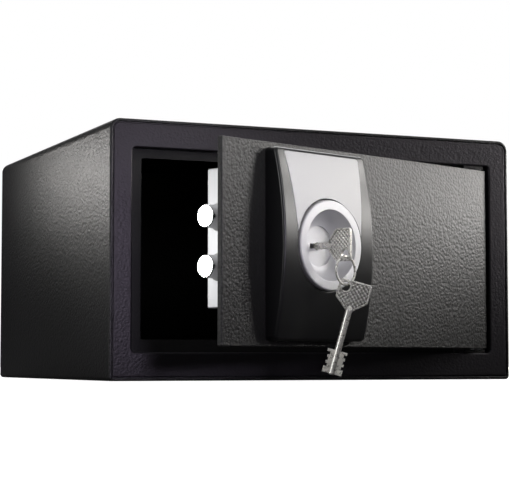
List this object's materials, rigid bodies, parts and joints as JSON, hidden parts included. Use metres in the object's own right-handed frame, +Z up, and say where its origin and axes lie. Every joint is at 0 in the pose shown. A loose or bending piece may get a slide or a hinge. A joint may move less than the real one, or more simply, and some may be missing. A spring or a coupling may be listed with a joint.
{
  "type": "safe",
  "caption": "Compact key-operated safe with a hinged door, round bolts thrown by the key, an arched lock escutcheon and keys on a wire ring.",
  "frame": {"origin": "centre of the base, on the surface that the safe stands on", "axes": "+Z up, +Y from the door towards the rear panel, +X to the right as seen from the front"},
  "size_m": [0.29, 0.3626, 0.165],
  "materials": {
    "body_paint": "black textured powder coat",
    "frame_paint": "black fine powder coat",
    "door_paint": "dark grey textured powder coat",
    "mat_felt": "black felt",
    "zinc_plate": "zinc plated sheet",
    "plain_steel": "plated steel",
    "black_moulding": "satin black",
    "insert_silver": "silver paint, satin",
    "ring_silver": "satin silver",
    "white_moulding": "natural nylon",
    "bolt_steel": "polished plated bar",
    "lever_brass": "plain brass",
    "key_nickel": "nickel plate"
  },
  "bodies": {
    "root": {"body_shell": "body_paint", "rear_panel": "body_paint", "front_frame": "frame_paint", "hinge_brackets": "frame_paint", "hinge_washers": "zinc_plate", "floor_mat": "mat_felt"},
    "door": {"door_plate": "door_paint", "hinge_straps": "zinc_plate", "hinge_pins": "plain_steel", "escutcheon": "black_moulding", "escutcheon_insert": "insert_silver", "escutcheon_screws": "plain_steel", "lock_ring": "ring_silver", "keyway_disc": "ring_silver", "boltwork_cover": "zinc_plate", "cover_posts": "plain_steel", "cover_screws": "plain_steel", "bolt_bushes": "white_moulding", "lock_case": "zinc_plate", "lock_case_cap": "zinc_plate", "lever_guides": "plain_steel", "lever_springs": "plain_steel", "case_screws": "plain_steel", "cap_screws": "plain_steel", "guide_post": "plain_steel"},
    "bolts": {"bolt_carriage": "zinc_plate", "bolts": "bolt_steel", "bolt_nuts": "plain_steel"},
    "cam": {"drive_cam": "lever_brass"},
    "levers_up": {"levers_up": "lever_brass"},
    "levers_down": {"levers_down": "lever_brass"},
    "key": {"key": "key_nickel"},
    "key_ring": {"key_ring": "key_nickel"},
    "spare_key": {"spare_key": "key_nickel"}
  },
  "joints": [
    {"name": "door_hinge", "type": "hinge", "parent": "root", "child": "door", "pos_m": [0.12275, -0.127, 0.0825], "axis": [0, 0, 1], "range_deg": [-21.5, 73.5]},
    {"name": "key_turn", "type": "hinge", "parent": "door", "child": "key", "pos_m": [-0.03578, -0.1959, 0.0825], "axis": [0.3665, -0.9304, 0], "range_deg": [0, 90]},
    {"name": "cam_turn", "type": "hinge", "parent": "door", "child": "cam", "pos_m": [-0.04458, -0.17357, 0.0825], "axis": [0.3665, -0.9304, 0], "range_deg": [0, 90]},
    {"name": "bolt_throw", "type": "slide", "parent": "door", "child": "bolts", "axis": [-0.9304, -0.3665, 0], "range_m": [0, 0.0105]},
    {"name": "lever_rise", "type": "slide", "parent": "door", "child": "levers_up", "axis": [0, 0, 1], "range_m": [0, 0.0009]},
    {"name": "lever_drop", "type": "slide", "parent": "door", "child": "levers_down", "axis": [0, 0, -1], "range_m": [0, 0.0009]},
    {"name": "ring_slip", "type": "hinge", "parent": "key", "child": "key_ring", "pos_m": [-0.02545, -0.22213, 0.0705], "axis": [0.3665, -0.9304, 0], "range_deg": [-45, 0]},
    {"name": "spare_slip", "type": "hinge", "parent": "key_ring", "child": "spare_key", "pos_m": [-0.02545, -0.22213, 0.0668], "axis": [0.3665, -0.9304, 0], "range_deg": [-45, 0]}
  ],
  "couplings": [
    {"joint": "key_turn", "follows": "bolt_throw", "rad_per_m": 149.6},
    {"joint": "cam_turn", "follows": "bolt_throw", "rad_per_m": 149.6},
    {"joint": "lever_rise", "follows": "bolt_throw", "ratio": 0.085714},
    {"joint": "lever_drop", "follows": "bolt_throw", "ratio": 0.085714},
    {"joint": "ring_slip", "follows": "bolt_throw", "rad_per_m": -74.8},
    {"joint": "spare_slip", "follows": "bolt_throw", "rad_per_m": -74.8}
  ]
}
